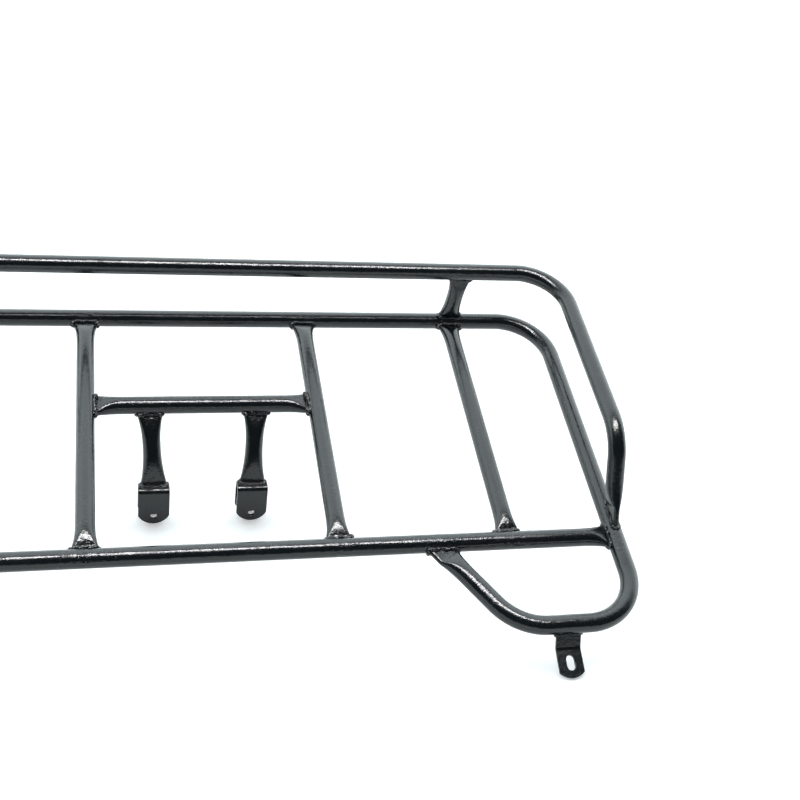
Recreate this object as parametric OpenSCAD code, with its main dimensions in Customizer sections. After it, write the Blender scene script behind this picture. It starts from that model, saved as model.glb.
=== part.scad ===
// Welded tubular luggage rack. Millimetres, +Z up, back of the rack towards +Y.
// The rack stands on its two mounting clips and two front tabs, so the deck slopes down to the front.
// Deck frame: X along the rack, Y from the front rail's axis to the back, Z = 0 on the axes of the deck tubes.

/* [Deck] */

// Outside diameter of every tube
tube_d = 19; // [12:0.5:32]
// Wall thickness of every tube
tube_wall = 1.5; // [1:0.1:3]
// Half the length of the deck, centre line to axis of the end rails
end_x = 418; // [300:1:600]
// Depth of the deck, axis of front rail to axis of back rail
deck_y = 320; // [220:1:450]
// Bend radius of the deck loop, on the tube's axis
loop_bend_r = 59; // [35:1:90]
// Distance of each inner cross tube from the centre line
inner_x = 122; // [80:1:160]
// Distance of each outer cross tube from the centre line
outer_x = 300; // [230:1:340]
// Distance of the centre bar behind the front rail
centre_bar_y = 190; // [150:1:250]

/* [Front hoops] */

// How far the front run of each hoop lies ahead of the front rail
hoop_y = 101; // [75:1:150]
// Where the sloping run of each hoop meets the front rail, from the centre line
hoop_root_x = 220; // [180:1:260]
// Corner between the sloping run and the front run of each hoop, from the centre line
hoop_corner_x = 285; // [265:1:310]

/* [Guard rail] */

// Height of the guard rail above the deck, axis to axis
guard_z = 80; // [50:1:140]
// Bend radius of the guard rail, on the tube's axis
guard_bend_r = 54; // [35:1:80]
// Where the guard's side run turns down, behind the front rail
guard_turn_y = 73.5; // [60:0.5:120]
// Where the axis of the guard's front leg meets the axis of the end rail, behind the front rail
guard_foot_y = 12.5; // [8:0.5:30]

/* [Pinched tube ends] */

// Width of a pinched end
pinch_w = 27; // [20:0.5:40]
// Thickness of a pinched end
pinch_t = 6.5; // [4:0.5:10]
// Length over which a tube goes from round to pinched
pinch_len = 24; // [12:1:40]
// Leg of each weld bead
weld_leg = 2.4; // [1:0.2:4]

/* [Struts and clips] */

// Distance of each strut from the centre line at the centre bar
strut_top_x = 56.5; // [40:0.5:80]
// Distance of each strut and clip from the centre line at the clip
clip_x = 52.5; // [35:0.5:75]
// Length of each strut from the centre bar's axis to the clip's top face
strut_len = 86.5; // [60:0.5:130]
// Slope of each strut below the deck plane
strut_angle = 48; // [30:1:65]
// Width of the clip strip
clip_w = 33; // [24:0.5:45]
// Thickness of the clip strip
clip_t = 3; // [2:0.5:5]
// Outside depth of the clip, front face to back face
clip_depth = 19; // [14:0.5:30]
// Outside bend radius of the clip
clip_bend_r = 5; // [3.5:0.5:6.5]
// Radius of the rounded end of each ear
ear_tip_r = 18; // [17:0.5:30]
// Diameter of the bolt hole through both ears
clip_hole_d = 7; // [4:0.1:10]
// Height of the bolt hole above the ends of the ears
clip_hole_z = 10; // [7:0.5:20]

/* [Front tabs] */

// Distance of each tab from the centre line
tab_x = 337; // [320:1:350]
// Width of the tab strip
tab_w = 26; // [18:0.5:34]
// Thickness of the tab strip
tab_t = 3; // [2:0.5:5]
// Distance from the hoop's axis to the tab's bend
tab_drop = 25; // [20:0.5:40]
// Slope of the tab's upper part below the deck plane
tab_drop_angle = 50; // [40:1:70]
// Length of the tab's lower part, bend to tip
tab_len = 29.5; // [24:0.5:60]
// Slope of the tab's lower part below the deck plane
tab_angle = 14.5; // [5:0.5:30]
// Bend radius of the tab, on its middle plane
tab_bend_r = 7; // [4:0.5:10]
// Radius of the tab's rounded tip
tab_tip_r = 18; // [13.5:0.5:30]
// Width of the slot
slot_w = 8.5; // [5:0.1:12]
// Length of the slot, end to end
slot_len = 15; // [10:0.5:20]
// Distance of the slot's centre from the tab's tip
slot_from_tip = 15; // [11:0.5:30]

/* [Stance] */

// Slope of the deck, down to the front, with the rack standing on its clips and tabs
deck_tilt = 16.5; // [8:0.5:25]

/* [Hidden] */

$fn = 64;
tube_r = tube_d / 2;
bore_r = tube_r - tube_wall;
paint = [0.06, 0.07, 0.075];
weld_paint = [0.09, 0.1, 0.105];
cut = 200; // size of the blocks and rods that cut others
lap = 0.3; // overlap where lengths of one tube fuse
bend_lap = 2; // the same for the tab's bend, in degrees
hair = 0.06; // step between the surfaces there, so that none lies in another

// Deck frame directions and corner points
X = [1, 0, 0];
Y = [0, 1, 0];
Z = [0, 0, 1];
hoop_root = [hoop_root_x, 0, 0];
hoop_corner = [hoop_corner_x, -hoop_y, 0];
hoop_turn = atan2(hoop_y, hoop_corner_x - hoop_root_x);
hoop_tan = loop_bend_r * tan(hoop_turn / 2);
leg_turn = atan2(guard_z, guard_turn_y - guard_foot_y);
leg_tan = guard_bend_r * tan(leg_turn / 2);
leg_dir = [0, cos(leg_turn), sin(leg_turn)];
strut_top = [strut_top_x, centre_bar_y, 0];
strut_foot = [clip_x, centre_bar_y - strut_len * cos(strut_angle), -strut_len * sin(strut_angle)];
tab_root = [tab_x, -hoop_y, 0];
tab_dir = [0, -cos(tab_drop_angle), -sin(tab_drop_angle)];
tab_turn = tab_drop_angle - tab_angle;
tab_tan = tab_bend_r * tan(tab_turn / 2);
tab_tip_y = -hoop_y - tab_drop * cos(tab_drop_angle) - tab_len * cos(tab_angle);
tab_tip_z = -tab_drop * sin(tab_drop_angle) - tab_len * sin(tab_angle);

// Stance: heights of the deck frame's origin and of the clip's top face above the floor
tip_drop = tab_t / 2 * cos(tab_angle + deck_tilt);
deck_h = -(tab_tip_y * sin(deck_tilt) + tab_tip_z * cos(deck_tilt)) + tip_drop;
clip_top = deck_h + strut_foot[1] * sin(deck_tilt) + strut_foot[2] * cos(deck_tilt);
clip_y = strut_foot[1] * cos(deck_tilt) - strut_foot[2] * sin(deck_tilt);
front_y = tab_tip_y * cos(deck_tilt) - tab_tip_z * sin(deck_tilt) - tab_t / 2 * sin(tab_angle + deck_tilt);
back_y = deck_y * cos(deck_tilt) + tube_r;
mid_y = (front_y + back_y) / 2;
ear_edge_z = ear_tip_r - sqrt(ear_tip_r * ear_tip_r - clip_w * clip_w / 4);
tab_edge = tab_tip_r - sqrt(tab_tip_r * tab_tip_r - tab_w * tab_w / 4);

// How far each pinched end stays flat, measured from the axis or face that it is welded to
flat_end = tube_r + 3;
hoop_flat = tube_r / sin(hoop_turn) + pinch_w / 2 / tan(hoop_turn) + 1;
leg_flat = tube_r / sin(leg_turn) + pinch_w / 2 / tan(leg_turn) + 1;
foot_flat = pinch_t + 3;

// ---- placing ----

function unit(v) = v / norm(v);

// A direction square to a, or nearly so
function beside(a) = abs(unit(a)[0]) > 0.9 ? Y : X;

// Deck frame into the standing frame
module deck() translate([0, -mid_y, deck_h]) rotate([deck_tilt, 0, 0]) children();

// Floor frame of one clip: origin on its top face, over the middle of its depth
module at_clip() translate([clip_x, clip_y - mid_y, clip_top]) children();

// Local frame at p: z along a, x as near to b as a allows
module aim(p, a, b) {
    z = unit(a);
    y = unit(cross(z, b));
    x = cross(y, z);
    multmatrix([[x[0], y[0], z[0], p[0]], [x[1], y[1], z[1], p[1]], [x[2], y[2], z[2], p[2]], [0, 0, 0, 1]])
        children();
}

module mirrored() mirror([1, 0, 0]) children();

// ---- tube parts ----

// Straight hollow tube between two points
module run(p, q) aim(p, q - p, beside(q - p))
    difference() {
        cylinder(h = norm(q - p), r = tube_r);
        translate([0, 0, -1]) cylinder(h = norm(q - p) + 2, r = bore_r);
    }

// Hair-thin band over the joint of two lengths at p, so that they fuse into one tube
module band(p, a) aim(p, a, beside(a)) translate([0, 0, -lap]) difference() {
    cylinder(h = 2 * lap, r = tube_r + hair);
    translate([0, 0, -1]) cylinder(h = 3, r = bore_r - hair);
}

// Hollow bend about the local Z axis, from angle a through turn
module bend(r, a, turn) rotate([0, 0, a]) rotate_extrude(angle = turn) translate([r, 0]) difference() {
    circle(r = tube_r);
    circle(r = bore_r);
}

// Flat section with round edges, extruded along local Z
module flat(w, t, h) {
    translate([-(w - t) / 2, -t / 2, 0]) cube([w - t, t, h]);
    translate([-(w - t) / 2, 0, 0]) cylinder(h = h, d = t);
    translate([(w - t) / 2, 0, 0]) cylinder(h = h, d = t);
}

// Pinched end of a tube: p on the mate's axis, a along the tube, b along the mate.
// Flat up to f from the mate's axis, then swelling to the round tube.
module pinch(p, a, b, f) aim(p, a, b) {
    flat(pinch_w, pinch_t, f);
    hull() {
        translate([0, 0, f - 0.01]) flat(pinch_w, pinch_t, 0.01, $fn = 32);
        translate([0, 0, f + pinch_len - 0.01]) cylinder(h = lap, r = tube_r - hair, $fn = 32);
    }
}

// Solid rod along a mate, used to cope what is welded to it
module rod(p, b, r = tube_r) aim(p, b, beside(b)) translate([0, 0, -cut / 2]) cylinder(h = cut, r = r);

// What lies beyond a mate's axis through p: a points to the side that stays, b along the mate
module beyond(p, a, b) aim(p, a, b) translate([-cut / 2, -cut / 2, -cut]) cube([cut, cut, cut]);

// Weld bead round a flat end of section w by t: p, a and b as for pinch
module bead(p, a, b, w = pinch_w, t = pinch_t, from = 2) difference() {
    intersection() {
        aim(p, a, b) translate([0, 0, from]) flat(w + 2 * weld_leg, t + 2 * weld_leg, 40);
        rod(p, b, tube_r + weld_leg);
    }
    rod(p, b);
    aim(p, a, b) flat(w, t, 60);
}

// Straight tube with both ends pinched and coped: p and q on the mates' axes, bp and bq along the mates
module cross_tube(p, q, bp, bq) {
    u = unit(q - p);
    difference() {
        union() {
            run(p + u * (flat_end + pinch_len), q - u * (flat_end + pinch_len));
            pinch(p, u, bp, flat_end);
            pinch(q, -u, bq, flat_end);
        }
        rod(p, bp);
        rod(q, bq);
    }
}

// ---- deck ----

module half_loop() {
    u = unit(hoop_corner - hoop_root);
    difference() {
        pinch(hoop_root, u, X, hoop_flat);
        rod(hoop_root, X);
        beyond(hoop_root, -Y, X);
    }
    run(hoop_root + u * (hoop_flat + pinch_len), hoop_corner - u * hoop_tan);
    band(hoop_corner - u * hoop_tan, u);
    translate([hoop_corner_x + hoop_tan, -hoop_y + loop_bend_r, 0]) bend(loop_bend_r, 270 - hoop_turn, hoop_turn);
    band(hoop_corner + X * hoop_tan, X);
    run(hoop_corner + X * hoop_tan, [end_x - loop_bend_r, -hoop_y, 0]);
    translate([end_x - loop_bend_r, -hoop_y + loop_bend_r, 0]) bend(loop_bend_r, 270, 90);
    run([end_x, -hoop_y + loop_bend_r, 0], [end_x, deck_y - loop_bend_r, 0]);
    translate([end_x - loop_bend_r, deck_y - loop_bend_r, 0]) bend(loop_bend_r, 0, 90);
}

module deck_loop() color(paint) deck() {
    half_loop();
    mirrored() half_loop();
    run([-(end_x - loop_bend_r), deck_y, 0], [end_x - loop_bend_r, deck_y, 0]);
}

module front_rail() color(paint) deck() cross_tube([-end_x, 0, 0], [end_x, 0, 0], Y, Y);

module fore_aft(x) cross_tube([x, 0, 0], [x, deck_y, 0], X, X);
module inner_cross_right() color(paint) deck() fore_aft(inner_x);
module inner_cross_left() color(paint) deck() fore_aft(-inner_x);
module outer_cross_right() color(paint) deck() fore_aft(outer_x);
module outer_cross_left() color(paint) deck() fore_aft(-outer_x);
module centre_bar() color(paint) deck() cross_tube([-inner_x, centre_bar_y, 0], [inner_x, centre_bar_y, 0], Y, Y);

// ---- guard rail ----

module half_guard() {
    foot = [end_x, guard_foot_y, 0];
    turn = [end_x, guard_turn_y, guard_z];
    translate([end_x - guard_bend_r, deck_y - guard_bend_r, guard_z]) bend(guard_bend_r, 0, 90);
    run([end_x, deck_y - guard_bend_r, guard_z], turn + Y * leg_tan);
    translate([end_x, guard_turn_y + leg_tan, guard_z - guard_bend_r]) rotate([0, 0, 90]) rotate([90, 0, 0])
        bend(guard_bend_r, 90, leg_turn);
    band(turn + Y * leg_tan, Y);
    band(turn - leg_dir * leg_tan, leg_dir);
    run(turn - leg_dir * leg_tan, foot + leg_dir * (leg_flat + pinch_len));
    difference() {
        pinch(foot, leg_dir, Y, leg_flat);
        rod(foot, Y);
        beyond(foot, Z, Y);
    }
}

module guard_rail() color(paint) deck() {
    half_guard();
    mirrored() half_guard();
    run([-(end_x - guard_bend_r), deck_y, guard_z], [end_x - guard_bend_r, deck_y, guard_z]);
}

module post(x) cross_tube([x, deck_y, 0], [x, deck_y, guard_z], X, X);
module guard_post_right() color(paint) deck() post(outer_x);
module guard_post_left() color(paint) deck() post(-outer_x);

// ---- struts and clips ----

module half_strut() {
    u = unit(strut_foot - strut_top);
    difference() {
        deck() union() {
            run(strut_top + u * (flat_end + pinch_len), strut_foot - u * (foot_flat + pinch_len));
            pinch(strut_top, u, X, flat_end);
            aim(strut_foot, u, X) mirror([0, 0, 1]) {
                translate([0, 0, -10]) flat(pinch_w, pinch_t, foot_flat + 10);
                hull() {
                    translate([0, 0, foot_flat - 0.01]) flat(pinch_w, pinch_t, 0.01, $fn = 32);
                    translate([0, 0, foot_flat + pinch_len - 0.01]) cylinder(h = lap, r = tube_r - hair, $fn = 32);
                }
            }
        }
        deck() rod(strut_top, X);
        at_clip() translate([-cut / 2, -cut / 2, -cut]) cube([cut, cut, cut]);
    }
}
module strut_right() color(paint) half_strut();
module strut_left() color(paint) mirrored() half_strut();

// Block of depth d and height h with its two top edges rounded along X, top face at z = 0
module arch(w, d, h, r) {
    translate([-w / 2, -d / 2, -h]) cube([w, d, h - r]);
    translate([-w / 2, -d / 2 + r, -h]) cube([w, d - 2 * r, h]);
    for (s = [-1, 1]) translate([-w / 2, s * (d / 2 - r), -r]) rotate([0, 90, 0]) cylinder(h = w, r = r);
}

module half_clip() at_clip() difference() {
    intersection() {
        arch(clip_w, clip_depth, clip_top, clip_bend_r);
        union() {
            translate([-cut / 2, -cut / 2, -clip_top + ear_edge_z]) cube([cut, cut, cut]);
            translate([0, cut / 2, -clip_top + ear_tip_r]) rotate([90, 0, 0]) cylinder(h = cut, r = ear_tip_r);
        }
    }
    translate([0, 0, -clip_t]) arch(clip_w + 2, clip_depth - 2 * clip_t, clip_top, clip_bend_r - clip_t);
    translate([0, clip_depth, -clip_top + clip_hole_z]) rotate([90, 0, 0]) cylinder(h = 2 * clip_depth, d = clip_hole_d);
}
module clip_right() color(paint) half_clip();
module clip_left() color(paint) mirrored() half_clip();

// ---- front tabs ----

// Lower part in its own frame: x to the tip, y up through the strip, z along the rack
module tab_plate() difference() {
    intersection() {
        translate([tab_tan, -tab_t / 2, -tab_w / 2]) cube([tab_len - tab_tan, tab_t, tab_w]);
        union() {
            translate([0, -tab_t, -tab_w]) cube([tab_len - tab_edge, 2 * tab_t, 2 * tab_w]);
            translate([tab_len - tab_tip_r, tab_t, 0]) rotate([90, 0, 0]) cylinder(h = 2 * tab_t, r = tab_tip_r);
        }
    }
    for (s = [-1, 1]) translate([tab_len - slot_from_tip + s * (slot_len - slot_w) / 2, tab_t, 0])
        rotate([90, 0, 0]) cylinder(h = 2 * tab_t, d = slot_w);
    translate([tab_len - slot_from_tip - (slot_len - slot_w) / 2, -tab_t, -slot_w / 2])
        cube([slot_len - slot_w, 2 * tab_t, slot_w]);
}

// Local frame in which x points to the front and y points up
module side_on() multmatrix([[0, 0, 1, 0], [-1, 0, 0, 0], [0, 1, 0, 0], [0, 0, 0, 1]]) children();

module half_tab() deck() translate(tab_root) difference() {
    side_on() {
        rotate([0, 0, -tab_drop_angle]) translate([0, -tab_t / 2, -tab_w / 2]) cube([tab_drop - tab_tan, tab_t, tab_w]);
        translate([tab_drop * cos(tab_drop_angle), -tab_drop * sin(tab_drop_angle), 0]) rotate([0, 0, -tab_angle]) {
            tab_plate();
            translate([tab_tan, tab_bend_r, -tab_w / 2 + hair]) rotate([0, 0, 270 - tab_turn - bend_lap])
                rotate_extrude(angle = tab_turn + 2 * bend_lap) translate([tab_bend_r - tab_t / 2 + hair, 0])
                    square([tab_t - 2 * hair, tab_w - 2 * hair]);
        }
    }
    rod([0, 0, 0], X);
}
module tab_right() color(paint) half_tab();
module tab_left() color(paint) mirrored() half_tab();

// ---- weld beads ----

module weld_inner_front_right() color(weld_paint) deck() bead([inner_x, 0, 0], Y, X);
module weld_inner_front_left() mirrored() weld_inner_front_right();
module weld_inner_back_right() color(weld_paint) deck() bead([inner_x, deck_y, 0], -Y, X);
module weld_inner_back_left() mirrored() weld_inner_back_right();
module weld_outer_front_right() color(weld_paint) deck() bead([outer_x, 0, 0], Y, X);
module weld_outer_front_left() mirrored() weld_outer_front_right();
module weld_outer_back_right() color(weld_paint) deck() bead([outer_x, deck_y, 0], -Y, X);
module weld_outer_back_left() mirrored() weld_outer_back_right();
module weld_front_rail_right() color(weld_paint) deck() bead([end_x, 0, 0], -X, Y);
module weld_front_rail_left() mirrored() weld_front_rail_right();
module weld_hoop_right() color(weld_paint) deck() difference() {
    bead(hoop_root, hoop_corner - hoop_root, X);
    beyond(hoop_root, -Y, X);
}
module weld_hoop_left() mirrored() weld_hoop_right();
module weld_guard_foot_right() color(weld_paint) deck() difference() {
    bead([end_x, guard_foot_y, 0], leg_dir, Y);
    beyond([end_x, guard_foot_y, 0], Z, Y);
}
module weld_guard_foot_left() mirrored() weld_guard_foot_right();
module weld_post_top_right() color(weld_paint) deck() bead([outer_x, deck_y, guard_z], -Z, X);
module weld_post_top_left() mirrored() weld_post_top_right();
module weld_post_foot_right() color(weld_paint) deck() bead([outer_x, deck_y, 0], Z, X);
module weld_post_foot_left() mirrored() weld_post_foot_right();
module weld_centre_bar_right() color(weld_paint) deck() bead([inner_x, centre_bar_y, 0], -X, Y);
module weld_centre_bar_left() mirrored() weld_centre_bar_right();
module weld_strut_top_right() color(weld_paint) deck() bead(strut_top, strut_foot - strut_top, X);
module weld_strut_top_left() mirrored() weld_strut_top_right();
module weld_strut_foot_right() color(weld_paint) difference() {
    intersection() {
        deck() aim(strut_foot, strut_top - strut_foot, X) translate([0, 0, -20])
            flat(pinch_w + 2 * weld_leg, pinch_t + 2 * weld_leg, 60);
        at_clip() translate([-cut / 2, -cut / 2, 0]) cube([cut, cut, weld_leg]);
    }
    deck() aim(strut_foot, strut_top - strut_foot, X) translate([0, 0, -30]) flat(pinch_w, pinch_t, 80);
}
module weld_strut_foot_left() mirrored() weld_strut_foot_right();
module weld_tab_right() color(weld_paint) deck() bead(tab_root, tab_dir, X, tab_w + tab_t, tab_t);
module weld_tab_left() mirrored() weld_tab_right();

deck_loop();
front_rail();
guard_rail();
guard_post_right();
guard_post_left();
inner_cross_right();
inner_cross_left();
outer_cross_right();
outer_cross_left();
centre_bar();
strut_right();
strut_left();
clip_right();
clip_left();
tab_right();
tab_left();
weld_inner_front_right();
weld_inner_front_left();
weld_inner_back_right();
weld_inner_back_left();
weld_outer_front_right();
weld_outer_front_left();
weld_outer_back_right();
weld_outer_back_left();
weld_front_rail_right();
weld_front_rail_left();
weld_hoop_right();
weld_hoop_left();
weld_guard_foot_right();
weld_guard_foot_left();
weld_post_top_right();
weld_post_top_left();
weld_post_foot_right();
weld_post_foot_left();
weld_centre_bar_right();
weld_centre_bar_left();
weld_strut_top_right();
weld_strut_top_left();
weld_strut_foot_right();
weld_strut_foot_left();
weld_tab_right();
weld_tab_left();
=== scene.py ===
"""A welded tubular luggage rack: bent and pinched steel tubes, rippled welds, strips, gloss black enamel.

Deck frame: x along the rack, y from the front rail to the back rail, z up and square to the deck, in metres.
"""
import math

import bmesh
import bpy
import numpy as np
from bpy.props import FloatProperty, FloatVectorProperty, PointerProperty, StringProperty
from mathutils import Euler, Matrix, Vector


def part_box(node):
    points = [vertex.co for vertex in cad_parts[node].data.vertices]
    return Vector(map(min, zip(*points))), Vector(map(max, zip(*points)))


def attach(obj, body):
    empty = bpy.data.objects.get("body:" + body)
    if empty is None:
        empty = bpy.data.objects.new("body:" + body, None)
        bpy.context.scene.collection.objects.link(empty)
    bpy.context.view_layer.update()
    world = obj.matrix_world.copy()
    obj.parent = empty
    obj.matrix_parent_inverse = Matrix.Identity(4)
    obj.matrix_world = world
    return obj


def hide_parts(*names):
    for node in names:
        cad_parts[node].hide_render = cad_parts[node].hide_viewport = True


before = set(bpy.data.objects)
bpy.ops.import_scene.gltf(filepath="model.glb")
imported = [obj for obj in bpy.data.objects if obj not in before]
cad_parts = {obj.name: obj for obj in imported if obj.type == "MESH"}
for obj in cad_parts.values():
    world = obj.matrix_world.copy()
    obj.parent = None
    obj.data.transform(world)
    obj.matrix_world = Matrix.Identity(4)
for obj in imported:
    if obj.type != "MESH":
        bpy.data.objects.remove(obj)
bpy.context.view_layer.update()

bl_info = {
    "name": "Tubular luggage rack",
    "version": (1, 0, 0),
    "blender": (4, 5, 0),
    "location": "View3D > Sidebar > Rack",
    "description": "Builds a welded tubular luggage rack from bent, pinched and painted steel tube",
    "category": "Add Mesh",
}

SIDES = {"right": 1.0, "left": -1.0}


def middle(node_name):
    """Centre of a CAD node's box, in metres."""
    low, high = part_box(node_name)
    return (np.array(low) + np.array(high)) / 2


FRONT = middle("front_rail")  # the deck frame's origin
BAR = middle("centre_bar")
INNER = middle("inner_cross_right")
OUTER = middle("outer_cross_right")
POST = middle("guard_post_right")
TAB = middle("tab_right")
TAB_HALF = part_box("tab_right")[1][0] - TAB[0]  # half the width of a tab
TILT = math.atan2(BAR[2] - FRONT[2], BAR[1] - FRONT[1])
DECK = np.array([[1.0, 0.0, 0.0],
                 [0.0, math.cos(TILT), math.sin(TILT)],
                 [0.0, -math.sin(TILT), math.cos(TILT)]])  # rows: the deck frame's x, y and z directions
DX, DY, DZ = DECK
UP = np.array([0.0, 0.0, 1.0])
BACK = np.array([0.0, 1.0, 0.0])
TUBE = 0.019
LAND = 0.002  # how far a square end stays flat past its mate's wall
SLOPING_LAND = 0.001  # the same for a sloping end, past its longer side
ROOT = 0.001  # how far a tab starts inside the hoop's wall
CREST = 0.00035  # bulge left in the middle of a pinched flat
BITE = 0.0006  # how far a pinched end reaches into its mate
FOOT_BEAD, TAB_BEAD = 1.15, 0.8  # size of the beads at the struts' feet and at the tabs, against the others
SPATTER = 0.010  # distance from a weld's centre within which spatter is thickest
SPATTER_FADE = 0.011  # distance over which it falls to about a third past that
FLOOR_HALF = 6.0
ON_TUBE, ON_WELD, ON_STRIP = ("Gloss_black_enamel_on_" + part for part in ("tube", "weld", "strip"))
# Strip ends: radius of the tip; distance of the hole's centre from it; radius of the hole; half the straight
# length of a slot; and how far from the tip the strip's plain rows begin.
EAR = {"tip": 0.018, "hole": 0.010, "radius": 0.0035, "slot": 0.0, "reach": 0.0235}
TAB_TIP = {"tip": 0.018, "hole": 0.015, "radius": 0.00425, "slot": 0.00325, "reach": 0.0262}


def length_prop(name, text, default):
    """A length in metres that the panel shows in the scene's unit."""
    return FloatProperty(name=name, description=text, default=float(default), unit="LENGTH", precision=4)


def angle_prop(name, text, default):
    """An angle, given here in degrees, that is kept in radians and shown in degrees."""
    return FloatProperty(name=name, description=text, default=math.radians(default), subtype="ANGLE")


def place_prop(name, text, default):
    """A point in metres."""
    return FloatVectorProperty(name=name, description=text, subtype="TRANSLATION", default=default)


def colour_prop(name, text, default):
    """A colour as an sRGB hex value."""
    return StringProperty(name=name, description=text, default=default)


class RackSizes(bpy.types.PropertyGroup):
    """Sizes of the tubes, bends, pinched ends, welds and strips."""
    tube: length_prop("Tube diameter", "Outside diameter of every tube", TUBE)
    end_x: length_prop("Half length", "Centre line to the axis of an end rail",
                       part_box("deck_loop")[1][0] - TUBE / 2)
    deck_y: length_prop("Deck depth", "Axis of the front rail to axis of the back rail",
                        2 * np.linalg.norm(INNER[1:] - FRONT[1:]))
    bar_y: length_prop("Centre bar", "Distance of the centre bar behind the front rail",
                       np.linalg.norm(BAR[1:] - FRONT[1:]))
    inner_x: length_prop("Inner cross tubes", "Distance from the centre line", INNER[0])
    outer_x: length_prop("Outer cross tubes", "Distance from the centre line", OUTER[0])
    loop_bend: length_prop("Loop bend radius", "On the tube's axis", 0.059)
    hoop_y: length_prop("Hoop reach", "Front run of a hoop ahead of the front rail", 0.101)
    hoop_root: length_prop("Hoop root", "Where a hoop's sloping run meets the front rail", 0.220)
    hoop_corner: length_prop("Hoop corner", "Where the sloping run meets the front run", 0.285)
    guard_z: length_prop("Guard height", "Guard rail above the deck, axis to axis",
                         2 * np.dot(POST - FRONT, DZ))
    guard_bend: length_prop("Guard bend radius", "On the tube's axis", 0.054)
    guard_turn: length_prop("Guard turn", "Where the side run turns down", 0.0735)
    guard_foot: length_prop("Guard foot", "Where the front leg meets the end rail", 0.0125)
    pinch: length_prop("Pinched thickness", "Thickness of a pinched tube end", 0.0065)
    half_width: length_prop("Pinched half width", "Half the width of a pinched end", 0.0132)
    flare: length_prop("Flare length", "From pinched to round", 0.032)
    strut_flat: length_prop("Strut foot flat", "How far a strut's foot stays flat above its clip", 0.0055)
    strut_flare: length_prop("Strut foot flare", "From pinched to round at a strut's foot", 0.036)
    bead: length_prop("Weld bead", "Radius of a weld bead", 0.0029)
    ripple: length_prop("Weld ripple", "Spacing of the ripples in a bead", 0.0028)
    strut_x: length_prop("Strut top", "Distance of a strut from the centre line at the centre bar", 0.0565)
    strip: length_prop("Strip thickness", "Thickness of the clips and tabs", 0.003)
    edge: length_prop("Edge rounding", "Rounding of the cut edges of the strips", 0.0005)
    clip_bend: length_prop("Clip bend radius", "On the strip's middle plane", 0.005)
    tab_bend: length_prop("Tab bend radius", "On the strip's middle plane", 0.007)
    tab_drop: length_prop("Tab drop", "From the hoop's axis to the tab's bend", 0.025)
    tab_length: length_prop("Tab length", "From the tab's bend to its tip", 0.0295)
    tab_drop_angle: angle_prop("Tab's upper slope", "Slope of its upper part below the deck", 50)
    tab_angle: angle_prop("Tab's lower slope", "Slope of its lower part below the deck", 14.5)


class RackFinish(bpy.types.PropertyGroup):
    """Colours and gloss of the paint and of what lies under and on it."""
    paint: colour_prop("Paint", "Gloss black enamel", "#030d12")
    dust: colour_prop("Dust", "Fine pale dust that settled on the top", "#8d8f88")
    primer: colour_prop("Chip", "Dark primer and steel in the chips", "#4b4f50")
    floor: colour_prop("Floor", "Plain pale floor", "#f7f7f6")
    gloss: FloatProperty(name="Roughness", description="Roughness of the sound paint", default=0.16, min=0.02,
                         max=1)


class StageSettings(bpy.types.PropertyGroup):
    """Camera and lights."""
    camera_at: place_prop("Camera", "Where it stands", (-0.1053, -0.9510, 0.7848))
    camera_turn: FloatVectorProperty(name="Camera turn", description="Its rotation", subtype="EULER",
                                     default=[math.radians(a) for a in (58.5523, -7.2976, -12.7586)])
    lens: FloatProperty(name="Lens", description="Focal length in mm on a 36 mm sensor", default=51.3)
    strip: FloatProperty(name="Strip light", description="Power of the narrow light overhead", default=92)
    strip_long: length_prop("Strip light length", "Along the rack", 2.2)
    strip_wide: length_prop("Strip light width", "Across the rack", 0.3)
    strip_at: place_prop("Strip light's place", "Where its middle hangs", (-0.1, -0.46, 2.2))
    strip_aim: place_prop("Strip light's aim", "The point that it faces", (-0.1, 0.1, 0.1))
    fill: FloatProperty(name="Tent", description="Strength of the soft light behind and above", default=3.3)


# ---- geometry ----

def unit(v):
    """The vector divided by its length."""
    v = np.asarray(v, float)
    return v / np.linalg.norm(v, axis=-1, keepdims=True)


def deck(x, y, z=0.0):
    """A point of the deck frame in the rack's own frame."""
    return np.array([0.0, FRONT[1], FRONT[2]]) + x * DX + y * DY + z * DZ


def turned(v, axis, angle):
    """Vector v turned about a unit axis k by angles a: v cos a + (k x v) sin a + k (k.v) (1 - cos a)."""
    c, s = np.cos(angle)[..., None], np.sin(angle)[..., None]
    return v * c + np.cross(axis, v) * s + axis * np.dot(axis, v) * (1 - c)


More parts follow.
